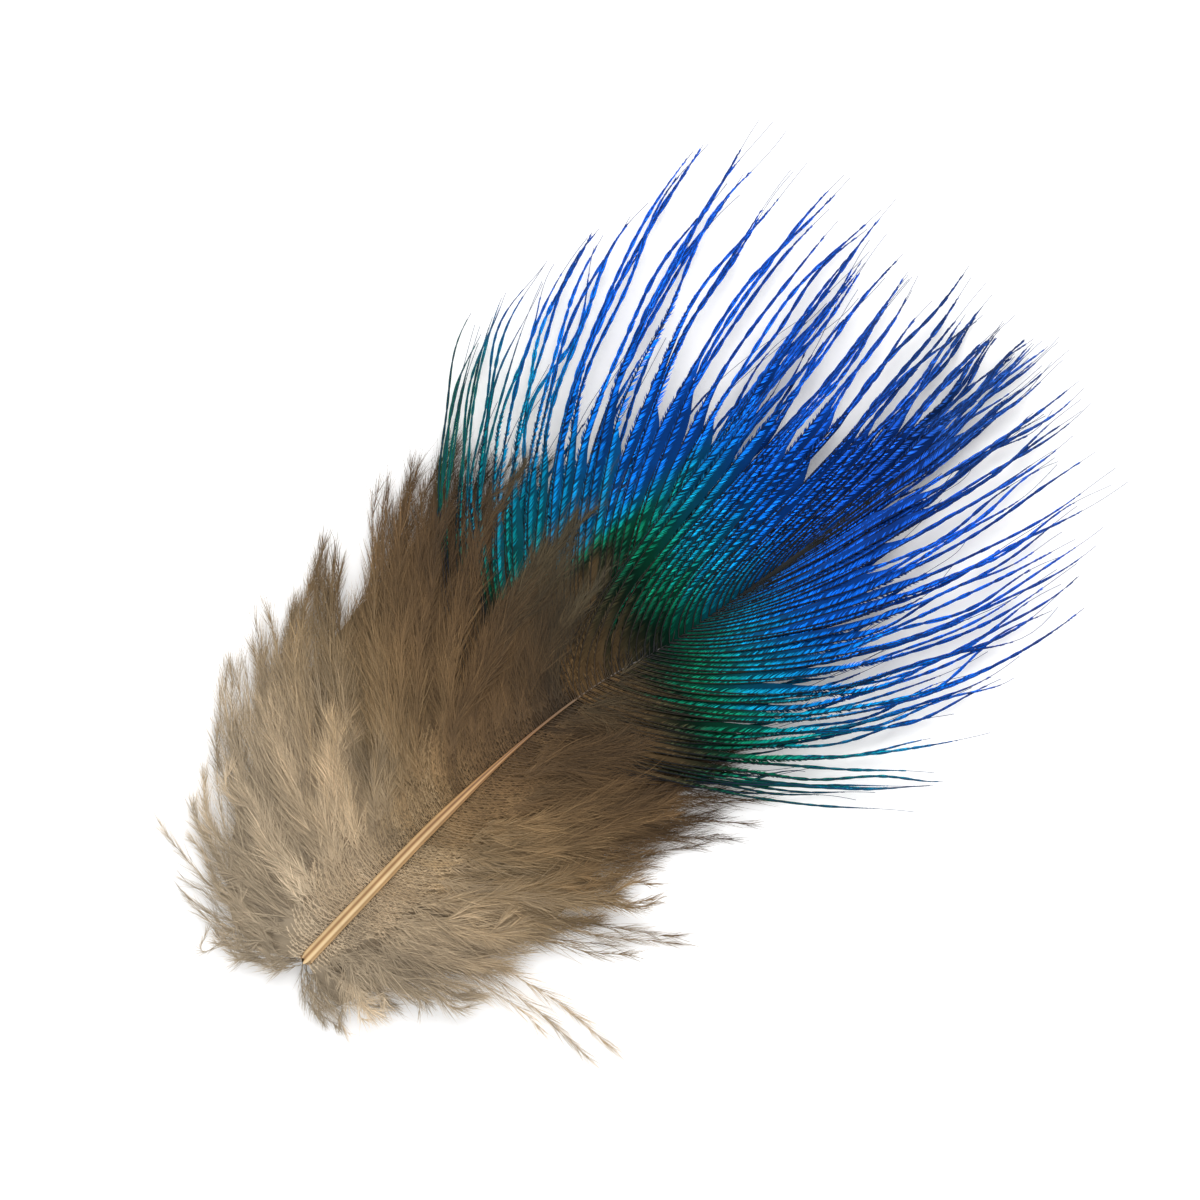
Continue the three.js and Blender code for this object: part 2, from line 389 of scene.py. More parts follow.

# The web from barb to barb lies a little under their spines, painted dark as the shade between them
WEB_STEPS = 140
WEB_DROP = UP * 0.05
SPINE_RADIUS = 0.068
SPINE_TAPER = 0.05
SPINE_LIFT = 0.04

# Barbules on the web: their spacing and width, the share of the barb where they start, the widest gap
# that they bridge, and their splay in degrees on the web and on a free strand
BARBULE_SPACING = 0.125
BARBULE_WIDTH = 0.095
BARBULES_FROM = 0.01
WIDEST_GAP = 0.66
CLOSE_SPLAY = 41
FREE_SPLAY = 21

# The lowest barbs, between these stations and the quill: how far those of each side thin out, and how
# much darker they get
LOWEST_STATIONS = (-7.5, -11)
LOWEST_BARBS = {"left": (1.0, 0.3), "right": (0.7, 0.0)}

# Distances from the brown edge at the two ends of the vane's colour ramp
HUE_FROM, HUE_TO = -6, 30


def vane_height(stations, share):
    """Height of the vane's barbs, in the CAD's formula."""
    root = smooth(SHAFT, stations, HEIGHT) + VANE_ABOVE_SHAFT
    return root + (VANE_TIP_HEIGHT - root) * share**VANE_DROOP


def hue_at(points):
    """How far a place is past the line where brown turns to green, in millimetres. Near the shaft the
    line falls to the right; far to the left the vane is blue or teal right out of the down."""
    x, y = points[:, 0], points[:, 1]
    edge = 0.4 - 0.42 * np.clip(x - 2, 0, 12) + 0.9 * np.clip(-x - 1, 0, 3)
    middle = (y - edge) * (1 - 0.2 * ease(x, 8, 16))
    past = y - 1.5
    outer = 7.5 + 0.6 * np.maximum(past, 0) + 0.5 * np.minimum(past, 0)
    outer = outer - 0.8 * np.maximum(-x - 14, 0) * (1 - ease(y, 4, 14)) - 8 * (1 - ease(y, -9, -3.5))
    return middle + (outer - middle) * ease(-x, 4.5, 6.5)


def hue_number(millimetres):
    """The colour ramp's place for a distance from the brown edge."""
    return np.clip((millimetres - HUE_FROM) / (HUE_TO - HUE_FROM), 0, 1)


def vane_barbs(barbs, rng):
    """Stations and curves of one set of vane barbs."""
    (low, high), count = barbs.stations, barbs.count
    stations = low + (np.arange(count) + 0.5 + rng.uniform(-0.15, 0.15, count)) * ((high - low) / count)
    turns, stretches = rng.normal(*barbs.turn, count), rng.uniform(*barbs.stretch, count)
    curves = barb_curves(barbs.rows, stations, turns, stretches)
    curves = sidestep(curves, waves(rng, count, 0.25))
    group = np.searchsorted(np.cumsum(rng.integers(*GROUP_SIZES, count)), np.arange(count), side="right")
    for number in range(group.max() + 1):
        members = curves[group == number]
        to_middle = (members[:, -1].mean(axis=0) - members[:, -1]) * rng.uniform(-0.1, 0.85)
        curves[group == number] += to_middle[:, None] * (SHARE**5)[None, :, None]
    lift = barbs.height * ease(SHARE, 0, 0.1) * (1 - 0.5 * SHARE)
    lift = lift - 0.7 * ease(-stations, 6, 8)[:, None] * (1 - ease(SHARE, 0.08, 0.25))
    curves[:, :, 2] = vane_height(stations[:, None], SHARE) + lift
    curves[:, :, 2] = np.maximum(curves[:, :, 2] + waves(rng, count, 0.15), BARB_LOWEST)
    return stations, curves


def gaps_to_next(curves):
    """Distance from each barb to the next one towards the feather's tip, at each step."""
    forward = unit(np.gradient(curves, axis=1))
    apart = np.diff(curves, axis=0)
    apart = np.concatenate([apart, apart[-1:]])
    across = apart[..., 0] * forward[..., 1] - apart[..., 1] * forward[..., 0]
    return np.clip(np.abs(across), 0.2, 2.0)


def closed_web(gap, x):
    """How much of the web between two barbs is closed: it opens where they fan out."""
    return (1 - ease(gap, 0.9, 1.35)) * (1 - 0.8 * ease(-x, 10, 14)) * (1 - 0.75 * ease(x, 10, 15))


def letting_go(share, barb):
    """From 0 where a barb is hooked to the next one to 1 where it is a free strand."""
    return ease(share, barb["let_go"], barb["let_go"] + LETTING_GO)


def spindle_phase(share, barb):
    """Which spindle of a free strand a share of the barb is in, and how far along it."""
    spindle = barb["spindle"]
    phase = share * barb["length"] / spindle + 0.22 * np.sin(share * 31 + spindle * 9)
    return phase + 0.1 * np.sin(share * 67 + spindle)


def spindle_form(phase):
    """Share of a strand's half width along its spindles, least in the pinches between them."""
    place = phase % 1
    scallop = np.clip(np.sin(np.pi * place**0.85), 0, 1) ** 0.6
    return (0.3 + 0.7 * scallop) * (0.82 + 0.18 * np.sin(np.floor(phase) * 2.4))


def painted_shade_web(parts, side, curve, gap, barb):
    """A strip from one barb to the next, painted dark as the shade between barbs, that becomes the
    spindles of the free strand.
    """
    share = np.linspace(0, 1, WEB_STEPS)
    points, forward = sample(curve, share)
    gap = np.interp(share, SHARE, gap)
    loose = letting_go(share, barb)
    distal = leftward(forward) * side["sign"]
    taper = (1 - 0.35 * share) * (1 - ease(share, barb["last"] - 0.12, barb["last"] + 0.02))
    form = spindle_form(spindle_phase(share, barb))
    core = 0.02 + (0.035 + loose * (0.75 * barb["width"] * form)) * taper
    web = gap * (1 - loose) * closed_web(gap, points[:, 0]) * barb["web"]
    near = points - distal * core[:, None] - WEB_DROP
    far = points + distal * (core + web)[:, None] - WEB_DROP * (1 + 1.5 * (1 - loose[:, None]))
    vertices = np.stack([near, far], axis=1).reshape(-1, 3)
    first = 2 * np.arange(len(share) - 1)
    triangles = quads(first, first + 1, first + 3, first + 2)
    hue = hue_at(vertices) + barb["hue"]
    brown = brownness(hue)
    # Painted shade: the web is darkest between hooked barbs and lighter on the free strand
    shade = np.repeat((0.16 + 0.24 * loose) * barb["bright"], 2)
    parts.add(vertices, triangles, FINE, hue_number(hue), shade + (0.9 - shade) * brown, 0.5)


def brownness(hue):
    """1 in the brown beside the down, 0 where the vane is iridescent."""
    return 1 - ease(hue, -3, 0.5)


def barbules(parts, side, curve, gap, barb, rng):
    """Barbules of one barb: a close herringbone that farther out is caught up in spindles."""
    length, last = barb["length"], barb["last"]
    for hand in (-1, 1):
        count = int(length * (last - BARBULES_FROM) / BARBULE_SPACING)
        share = np.sort(rng.uniform(BARBULES_FROM, last, count))
        root, forward = sample(curve, share)
        loose = letting_go(share, barb)
        phase = spindle_phase(share, barb)
        across = leftward(forward) * hand
        distal = hand * side["sign"] > 0

        splay = np.radians(CLOSE_SPLAY * (1 - loose) + FREE_SPLAY * loose + rng.normal(0, 3, count))
        heading = forward * np.cos(splay)[:, None] + across * np.sin(splay)[:, None]
        heading[:, 2] += (0.06 if distal else -0.12) * (1 - loose) + rng.normal(0, 0.04, count)
        room = np.interp(share, SHARE, np.minimum(gap, WIDEST_GAP)) * (1.05 if distal else 0.6)
        body = barb["width"] * spindle_form(phase + 0.12) * (1 - 0.35 * share) / np.sin(splay)
        size = (room * (1 - loose) + (0.1 + body) * loose) * barb["full"]
        size = size * (1 - 0.4 * ease(share, last - 0.15, last)) * rng.uniform(0.85, 1.12, count)
        pinch = phase % 1 > 0.9
        kept = rng.uniform(0, 1, count) > loose * (0.05 + 0.7 * pinch)
        tilt = across * rng.normal(0.1 if distal else -0.2, 0.2, count)[:, None]
        facing = unit(UP + tilt + forward * rng.normal(0, 0.15, count)[:, None])
        bend = forward * 0.14 - across * 0.08

        strand = 0.85 + 0.3 * np.sin(np.floor(phase) * 12.9 + barb["spindle"] * 50)
        # Painted light and shade: distal barbules are painted lit, and proximal ones tucked under the
        # next barb are painted in shade; on a free strand the two sides come nearer
        shade = (1.1 if distal else 0.22) * (1 - loose) + strand * (1.0 if distal else 0.72) * loose
        hue = hue_at(root) + barb["hue"] + rng.normal(0, 0.4, count) + (strand - 0.85) * -5 * loose
        brown = brownness(hue)
        near_shaft = 1 - 0.6 * (1 - ease(share * length, 0.5, 4.5)) * (1 - brown)
        shade = (shade + (0.85 - shade) * brown) * near_shaft
        shade = shade * rng.uniform(0.75, 1.2, count) * barb["bright"]
        parts.add_blades(
            root[kept], heading[kept], bend[kept], facing[kept], size[kept],
            np.full(kept.sum(), BARBULE_WIDTH), hue_number(hue[kept]), shade[kept],
        )


def make_vane(name, materials, seed):
    """One side's vane."""
    side = SIDES[name]
    thinner, dimmer = LOWEST_BARBS[name]
    rng = np.random.default_rng(seed)
    parts = Parts()
    for number, barbs in enumerate(VANE_SETS[name]):
        stations, curves = vane_barbs(barbs, rng)
        gaps = gaps_to_next(curves)
        lengths = np.linalg.norm(np.diff(curves, axis=1), axis=2).sum(axis=1)
        low = ease(stations, *LOWEST_STATIONS) * thinner
        wander = 0.04 * np.sin(stations * 1.3) + 0.03 * np.sin(stations * 3.1)
        for index, curve in enumerate(curves):
            barb = {
                "length": lengths[index],
                "last": rng.uniform(*barbs.last),
                "let_go": barbs.let_go + wander[index] + rng.normal(0, 0.02),
                "spindle": rng.uniform(*SPINDLES),
                "width": barbs.width * rng.uniform(0.8, 1.2) * (1 - 0.5 * low[index]),
                "full": 1 - 0.5 * low[index],
                "bright": barbs.bright * rng.uniform(0.85, 1.15) * (1 - dimmer * low[index]),
                "web": 1 - 0.75 * low[index] if number > 0 else 0.0,
                "hue": rng.normal(0, 0.6),
            }
            painted_shade_web(parts, side, curve, gaps[index], barb)
            barbules(parts, side, curve, gaps[index], barb, rng)
        radii = np.broadcast_to(SPINE_RADIUS - SPINE_TAPER * SHARE**0.7, curves.shape[:2])
        vertices, triangles = threads(curves + UP * SPINE_LIFT, radii)
        reach = np.maximum(SHARE[None], 0.3 * ease(stations, -5, 0)[:, None])
        reach = np.repeat(reach.ravel(), THREAD_SIDES)
        parts.add(vertices, triangles, SPINE, hue_number(hue_at(vertices)), 1.0, reach)
    parts.build(f"{name}_vane", materials)


# Down


# A layer of down: how many barbs, first and last station, turn of their ends and its spread in
# degrees, least and greatest stretch, depth under the top, pull of the tufts, brightness (the layers
# under the top are darker with painted shade), distance from the shaft where they turn fluffy, spacing
# of the barbules, their length and splay in degrees
DownLayer = namedtuple(
    "DownLayer", "count stations turn stretch depth pull bright fluffy_from spacing longest splay"
)
LOW_DOWN = DownLayer(84, (-35.0, -2.0), (0, 8), (0.94, 1.06), 1.5, 0.4, 0.86, 0.8, 0.11, 3.6, 19)
STRAY_DOWN = {
    "left": DownLayer(50, (-34.5, -12.0), (0, 14), (0.92, 1.16), 0.9, 0.1, 0.95, 1.5, 0.24, 4.4, 11),
    "right": DownLayer(34, (-34.5, -14.0), (4, 14), (0.98, 1.3), 0.9, 0.1, 0.95, 1.5, 0.24, 4.0, 14),
}
MIDDLE_DOWN = DownLayer(74, (-35.0, -2.0), (-8, 14), (0.6, 0.94), 0.8, 0.8, 0.85, 2.0, 0.115, 3.4, 17)
TUFT_DOWN = DownLayer(112, (-33.5, -3.0), (0, 14), (0.7, 1.05), 0.0, 0.85, 1.1, 4.5, 0.104, 3.2, 14)

# Combed down is short, straight and never turns fluffy: this is farther out than any barb reaches
NEVER = 60.0
COMBED_DOWN = DownLayer(100, (-34.2, -10.0), (0, 1), (0.24, 0.28), 0.05, 0, 1.3, NEVER, 0.13, 0.4, 46)

# Downy barbs in one tuft: the least number, and one more than the greatest
TUFT_SIZES = (3, 8)

# Splay and length of the barbules where they aren't fluffy, and heights that all of them stay between
COMBED_SPLAY = 46
COMBED_LENGTH = 0.32
HIGHEST = 5.3
LOWEST = 0.02
DOWN_SPINE_RADIUS = 0.034
DOWN_SPINE_TAPER = 0.6

# The down's colour ramp starts at this station and runs over this length to the dark at the vane
BROWN_FROM = -36
BROWN_LENGTH = 36

# The bed under the down, painted as the shade deep in it: first and last station, share of the barbs it
# covers, and its grid
BED_STATIONS = (-34.0, -3.0)
BED_SHARE = 0.78
BED_ROWS, BED_COLUMNS = 90, 26


def brown_number(points):
    """The down's colour ramp's place: 0 at the pale base, 1 in the dark at the vane."""
    from_shaft = np.abs(points[:, 0] - 1)
    return np.clip((points[:, 1] - 0.3 * from_shaft - BROWN_FROM) / BROWN_LENGTH, 0, 1)


def down_share(side, stations):
    """The share of a barb that is down. On the right, the down beside the vane stays short."""
    share = smooth(side["barbs"], stations, DOWNY)
    if side["sign"] > 0:
        share = share * (1 - 0.5 * ease(stations, -12, -7))
    return np.maximum(share, 0.06)


def down_top(stations, share):
    """Height of the down's upper side."""
    root = smooth(SHAFT, stations, HEIGHT) - 0.15
    return root + (1.0 - root) * share**1.6 + 0.6 * np.sin(np.pi * np.minimum(share, 1))


def down_curves(side, layer, rng):
    """Curves of one layer of downy barbs, gathered in pointed tufts, and each barb's tone and shade."""
    (low, high), count, (turn, turn_spread) = layer.stations, layer.count, layer.turn
    hooked, combed = "hooked" in side, layer.fluffy_from == NEVER
    loose = min(turn_spread / 8, 1)
    places = np.arange(count) + 0.5 + rng.uniform(-0.4, 0.4, count) * loose
    stations = low + places / count * (high - low)
    tuft = np.searchsorted(np.cumsum(rng.integers(*TUFT_SIZES, count)), np.arange(count), side="right")
    tufts = tuft.max() + 1
    middles = np.array([stations[tuft == number].mean() for number in range(tufts)])

    turns, sizes = rng.normal(turn, turn_spread, tufts), rng.uniform(*layer.stretch, tufts)
    downy = [1.0 if hooked else down_share(side, places) for places in (stations, middles)]
    sizes = sizes if hooked or combed else sizes + 0.8 * (1 - sizes) * ease(middles, -16, -9)
    own_sizes = sizes[tuft] * rng.uniform(0.82, 1.04, count)
    turned = turns[tuft] + rng.normal(0, min(turn_spread / 2, 4), count)
    sweeps = rng.uniform(0.7, 2.0, tufts)
    curves = barb_curves(side, stations, turned, own_sizes * downy[0], sweeps[tuft])
    centres = barb_curves(side, middles, turns, sizes * downy[1], sweeps)
    weight = (layer.pull * ease(SHARE, 0.15, 1.0))[None, :, None]
    curves = curves + (centres[tuft] - curves) * weight
    curves = sidestep(curves, waves(rng, count, 0.08 + 0.4 * layer.pull) * loose)

    reach = SHARE * own_sizes[:, None] * (0.8 if hooked else 1.0)
    rise = rng.normal(0, 0.4, tufts)[tuft][:, None] * np.sin(np.pi * SHARE)
    height = down_top(stations[:, None], reach)
    height = height - layer.depth * ease(reach, 0, 0.15) * (1 - 0.6 * reach)
    rise = (rise + waves(rng, count, 0.15)) * loose
    curves[:, :, 2] = np.clip(height + rise, BARB_LOWEST, HIGHEST - 0.2)
    tones = rng.normal(0, 0.025, tufts)[tuft]
    uneven_shades = rng.uniform(0.7, 1.2, tufts)[tuft] * rng.uniform(0.86, 1.14, count)
    return curves, tones, layer.bright * uneven_shades**loose


def down_barbules(parts, curve, layer, tone, shade, rng):
    """Long limp barbules of one downy barb, or short and regular ones where it is combed."""
    length = np.linalg.norm(np.diff(curve, axis=0), axis=1).sum()
    station = curve[0, 1]
    for hand in (-1, 1):
        count = int(length / layer.spacing)
        share = np.sort(rng.uniform(0.0, 1.0, count))
        root, forward = sample(curve, share)
        from_shaft = layer.fluffy_from * (1 - 0.75 * ease(station, -17, -9))
        fluffy = ease(share * length, 0.5 * from_shaft, 1.5 * from_shaft)

        splay = np.radians(COMBED_SPLAY * (1 - fluffy) + rng.normal(layer.splay, 8, count) * fluffy)
        across = leftward(forward) * hand
        heading = forward * np.cos(splay)[:, None] + across * np.sin(splay)[:, None]
        heading[:, 2] += rng.normal(0.03, 0.1, count) * fluffy
        heading[:, 2] -= 0.25 * (1 - fluffy)
        size = COMBED_LENGTH + (layer.longest - COMBED_LENGTH) * fluffy
        size = size * rng.uniform(0.55 + 0.3 * (1 - fluffy), 1.15)
        size = size * (1 - 0.45 * ease(share, 0.6, 1.0)) * (0.5 + 0.5 * ease(station, -35.5, -29))
        bend = forward * rng.uniform(0.05, 0.3, count)[:, None]
        bend = bend - across * rng.normal(0.12, 0.14, count)[:, None]
        bend[:, 2] -= rng.uniform(0.0, 0.12, count) * fluffy
        facing = unit(UP + rng.normal(0, 0.3, (count, 3)) * fluffy[:, None])
        width = rng.uniform(0.022, 0.034, count) * np.where(rng.uniform(0, 1, count) < 0.2, 1.4, 1.0)

        hue = brown_number(root) + tone + rng.normal(0, 0.03, count)
        bright = shade * np.exp(rng.normal(-0.04, 0.25, count) * (0.3 + 0.7 * fluffy))
        kept = (fluffy > 0.15) | (layer.fluffy_from == NEVER)
        parts.add_blades(
            root[kept], heading[kept], bend[kept], facing[kept], size[kept],
            width[kept], hue[kept], bright[kept], heights=(LOWEST, HIGHEST),
        )


def painted_shade_bed(parts, side):
    """A sheet under the down, painted dark as the shade deep in it, so that the surface below doesn't
    show through it.
    """
    stations, share = np.linspace(*BED_STATIONS, BED_ROWS), np.linspace(0, BED_SHARE, BED_COLUMNS)
    downy = down_share(side, stations)
    curves = barb_curves(side, stations, stretch=downy * BED_SHARE)
    points = np.stack([sample(curve, share / BED_SHARE)[0] for curve in curves])
    deep = ease(np.broadcast_to(share, points.shape[:2]), 0.08, 0.35)
    points[:, :, 2] = np.maximum(down_top(stations[:, None], share) - 0.3 - 0.8 * deep, 0.15)
    index = np.arange(points.shape[0] * points.shape[1]).reshape(points.shape[:2])
    vertices = points.reshape(-1, 3)
    triangles = quads(index[:-1, :-1], index[1:, :-1], index[1:, 1:], index[:-1, 1:])
    # Painted shade: the bed takes the down's colour at 0.7 of its brightness
    parts.add(vertices, triangles, FINE, brown_number(vertices), 0.7, 0.3)


def make_down(name, layers, materials, seed, bed_side=None):
    """Some layers of one side's down, on a bed of painted shade if the bed's side is given."""
    rng = np.random.default_rng(seed)
    parts = Parts()
    if bed_side:
        painted_shade_bed(parts, bed_side)
    for rows, layer in layers:
        curves, tones, shades = down_curves(rows, layer, rng)
        for curve, tone, shade in zip(curves, tones, shades):
            down_barbules(parts, curve, layer, tone, shade, rng)
        spines = curves[:, ::2]
        share = np.linspace(0, 1, spines.shape[1])
        radii = np.broadcast_to(DOWN_SPINE_RADIUS * (1 - DOWN_SPINE_TAPER * share), spines.shape[:2])
        vertices, triangles = threads(spines, radii)
        corners = len(share) * THREAD_SIDES
        hue = brown_number(vertices) + np.repeat(tones, corners)
        reach = np.tile(np.repeat(share, THREAD_SIDES), len(spines))
        parts.add(vertices, triangles, SPINE, hue, np.repeat(shades, corners), reach)
    parts.build(name, materials)


# Shaft

# The part that shows runs from the ragged end of the quill, with grooves along its upper side: angle
# off the top and width in radians, and depth
QUILL_END = -34.6
RAGGED_LENGTH = 0.8
GROOVES = [(0.35, 0.28, 1.0), (-0.75, 0.2, 0.7)]
GROOVE_DEPTH = 0.16
SHAFT_RINGS = 220
SHAFT_SIDES = 28


def make_shaft(materials):
    """The quill and rachis: a rounded tube with two grooves along its upper side."""
    stations = np.linspace(QUILL_END, SHAFT[-1][0], SHAFT_RINGS)
    axis = shaft_at(stations)[None]
    sunk = 0.68 * ease(stations, -21, -9) + 0.22 * ease(stations, -4, 9)
    radius = smooth(SHAFT, stations, RADIUS) * (1 - sunk)
    vertices, triangles = threads(axis, radius[None], SHAFT_SIDES)
    angles = around(SHAFT_SIDES)
    off_top = (angles + np.pi / 2) % (2 * np.pi) - np.pi
    groove = sum(depth * np.exp(-(((off_top - place) / width) ** 2)) for place, width, depth in GROOVES)

    centre = axis[0][:, None]
    ring = vertices.reshape(SHAFT_RINGS, SHAFT_SIDES, 3)
    ring = centre + (ring - centre) * (1 - GROOVE_DEPTH * groove)[None, :, None]
    ragged = 0.3 + 0.18 * np.sin(angles * 3) + 0.12 * np.sin(angles * 7 + 1)
    ring[:, :, 1] += ragged * (1 - ease(stations, QUILL_END, QUILL_END + RAGGED_LENGTH)[:, None])

    dark = np.tile(groove, SHAFT_RINGS)
    edge = np.tile(1 - np.clip(np.sin(angles), 0, 1), SHAFT_RINGS)
    along = np.repeat(ease(stations, -30, 6), SHAFT_SIDES)
    along = np.clip(along + (0.55 * dark + 0.5 * edge**2) * (1 - along), 0, 1)
    parts = Parts()
    parts.add(ring.reshape(-1, 3), triangles, FINE, along, 1 - 0.3 * np.clip(dark, 0, 1), dark)
    last = (SHAFT_RINGS - 1) * SHAFT_SIDES
    parts.cover([(0, i + 1, i) for i in range(1, SHAFT_SIDES - 1)], FINE)
    parts.cover([(last + i, last + i + 1, last) for i in range(1, SHAFT_SIDES - 1)], FINE)
    parts.build("shaft", materials)


# Materials


def srgb(red, green, blue):
    """A colour given as 0 to 255 on screen, as the shader wants it."""
    values = np.array([red, green, blue]) / 255
    return (*np.where(values <= 0.04045, values / 12.92, ((values + 0.055) / 1.055) ** 2.4), 1.0)


def new_material(name):
    """A new material with the Principled shader, its node tree and that shader."""
    material = bpy.data.materials.new(name)
    material.use_nodes = True
    tree = material.node_tree
    return material, tree, tree.nodes["Principled BSDF"]


def number_node(tree, name):
    """Reads one of the numbers stored at each vertex."""
    node = tree.nodes.new("ShaderNodeAttribute")
    node.attribute_name = name
    return node.outputs["Fac"]


def ramp_node(tree, source, stops):
    """A colour ramp through (place, colour) stops."""
    node = tree.nodes.new("ShaderNodeValToRGB")
    elements = node.color_ramp.elements
    while len(elements) < len(stops):
        elements.new(0.5)
    for element, (place, colour) in zip(elements, stops):
        element.position = place
        element.color = colour
    tree.links.new(source, node.inputs["Fac"])
    return node.outputs["Color"]


def math_node(tree, operation, first, second):
    """Math on two sockets or numbers."""
    node = tree.nodes.new("ShaderNodeMath")
    node.operation = operation
    for socket, value in zip(node.inputs, (first, second)):
        if isinstance(value, (int, float)):
            socket.default_value = value
        else:
            tree.links.new(value, socket)
    return node.outputs[0]


def noise_node(tree, scale, detail=2.0):
    """Noise over the object's own place, from 0 to 1; scale is per metre."""
    place = tree.nodes.new("ShaderNodeTexCoord")
    node = tree.nodes.new("ShaderNodeTexNoise")
    node.inputs["Scale"].default_value = scale
    node.inputs["Detail"].default_value = detail
    tree.links.new(place.outputs["Object"], node.inputs["Vector"])
    return node.outputs["Fac"]


def scaled(tree, source, spread, least):
    """A number from 0 to 1 turned into one from least to least + spread."""
    return math_node(tree, "ADD", math_node(tree, "MULTIPLY", source, spread), least)


def shaded(tree, colour, amount):
    """A colour made brighter or darker by a number."""
    node = tree.nodes.new("ShaderNodeHueSaturation")
    tree.links.new(colour, node.inputs["Color"])
    tree.links.new(amount, node.inputs["Value"])
    return node.outputs["Color"]


def hue_stops(stops):
    """Ramp stops from (millimetres past the brown edge, screen colour)."""
    return [(float(hue_number(np.array(place))), srgb(*colour)) for place, colour in stops]


def barbule_material():
    """Iridescent barbules: brown, emerald, teal, cyan, royal and violet blue along the feather."""
    material, tree, shader = new_material("iridescent_barbules")
    stops = hue_stops([
        (-6, (88, 68, 44)),
        (-2.5, (64, 53, 36)),
        (-0.5, (42, 48, 33)),
        (1, (12, 68, 48)),
        (3, (8, 112, 82)),
        (5, (6, 122, 118)),
        (7, (6, 132, 168)),
        (9.5, (6, 120, 186)),
        (12, (8, 106, 212)),
        (15, (13, 101, 222)),
        (19, (21, 95, 220)),
        (24, (27, 90, 210)),
        (30, (36, 84, 172)),
    ])
    colour = ramp_node(tree, number_node(tree, "hue"), stops)
    # Painted shade darkens the barbules at their roots beside the ramus; their tips are a little darker
    # too
    painted_root_shade = ramp_node(tree, number_node(tree, "reach"), [
        (0.0, (0.4, 0.4, 0.4, 1)),
        (0.3, (1, 1, 1, 1)),
        (1.0, (0.85, 0.85, 0.85, 1)),
    ])
    mottle = scaled(tree, noise_node(tree, 900), 0.5, 0.75)
    amount = math_node(tree, "MULTIPLY", number_node(tree, "shade"), mottle)
    amount = math_node(tree, "MULTIPLY", amount, painted_root_shade)
    tree.links.new(shaded(tree, colour, amount), shader.inputs["Base Color"])
    shader.inputs["Specular IOR Level"].default_value = 0.1
    rough = scaled(tree, noise_node(tree, 2500), 0.2, 0.28)
    tree.links.new(rough, shader.inputs["Roughness"])
    shader.inputs["Metallic"].default_value = 0.8
    return material


def ramus_material():
    """The dark spine of each vane barb, bare and grey-blue at its tip."""
    material, tree, shader = new_material("vane_ramus")
    stops = [
        (0.0, srgb(70, 55, 38)),
        (0.12, srgb(44, 36, 26)),
        (0.28, srgb(22, 24, 22)),
        (0.5, srgb(14, 24, 44)),
        (0.75, srgb(26, 46, 96)),
        (1.0, srgb(70, 82, 110)),
    ]
    colour = ramp_node(tree, number_node(tree, "reach"), stops)
    mottle = scaled(tree, noise_node(tree, 1200), 0.5, 0.75)
    tree.links.new(shaded(tree, colour, mottle), shader.inputs["Base Color"])
    shader.inputs["Roughness"].default_value = 0.5
    shader.inputs["Specular IOR Level"].default_value = 0.2
    return material


def down_stops(lift):
    """Greige to dark brown along the down; lift brightens the whole ramp."""
    stops = [
        (0.05, (180, 163, 138)),
        (0.25, (171, 151, 123)),
        (0.38, (155, 132, 99)),
        (0.47, (132, 107, 74)),
        (0.56, (111, 87, 58)),
        (0.65, (94, 72, 46)),
        (0.73, (79, 60, 38)),
        (0.80, (72, 56, 36)),
        (0.88, (68, 58, 40)),
        (1.0, (62, 56, 42)),
    ]
    return [(place, srgb(*(min(255, part * lift) for part in colour))) for place, colour in stops]


def down_material(name, lift):
    """Soft matt down."""
    material, tree, shader = new_material(name)
    colour = ramp_node(tree, number_node(tree, "hue"), down_stops(lift))
    mottle = scaled(tree, noise_node(tree, 240, 4.0), 0.9, 0.56)
    amount = math_node(tree, "MULTIPLY", number_node(tree, "shade"), mottle)
    # Painted shade: the down is darker at the roots of its barbules and spines, deep in the tufts, and
    # paler at their ends
    painted_depth_shade = scaled(tree, number_node(tree, "reach"), 0.4, 0.8)
    amount = math_node(tree, "MULTIPLY", amount, painted_depth_shade)
    tree.links.new(shaded(tree, colour, amount), shader.inputs["Base Color"])
    shader.inputs["Roughness"].default_value = 0.7
    shader.inputs["Specular IOR Level"].default_value = 0.25
    shader.inputs["Sheen Weight"].default_value = 0.05
    return material


def horn_material():
    """Straw-coloured horn with brown grooves, greyer towards the tip."""
    material, tree, shader = new_material("horn")
    colour = ramp_node(tree, number_node(tree, "hue"), [
        (0.0, srgb(218, 190, 144)),
        (0.35, srgb(186, 146, 98)),
        (0.6, srgb(140, 98, 60)),
        (0.78, srgb(106, 82, 56)),
        (0.9, srgb(66, 54, 40)),
        (1.0, srgb(16, 26, 40)),
    ])
    streak = scaled(tree, noise_node(tree, 700, 4.0), 0.5, 0.75)
    amount = math_node(tree, "MULTIPLY", number_node(tree, "shade"), streak)
    tree.links.new(shaded(tree, colour, amount), shader.inputs["Base Color"])
    rough = scaled(tree, noise_node(tree, 1500), 0.25, 0.25)
    tree.links.new(rough, shader.inputs["Roughness"])
    return material


# Stage, light and camera

VIEW_WIDTH = 90.0
VIEW_CENTRE = (-2.93, -0.3)
VIEW_ROLL = 45.0
LENS = 100.0
SENSOR = 36.0

# The floor reaches 0.6 m to each side, in metres, and lies a little under the feather
FLOOR_CORNERS = [(-0.6, -0.6, 0), (0.6, -0.6, 0), (0.6, 0.6, 0), (-0.6, 0.6, 0)]
FLOOR_DROP = 0.0002

# Soft boxes: name, place and size in metres, and power in watts
LIGHTS = [("key", (-0.2, 0.24, 0.5), 0.35, 2.0), ("fill", (0.3, -0.2, 0.5), 0.5, 0.8)]
WORLD_STRENGTH = 0.75


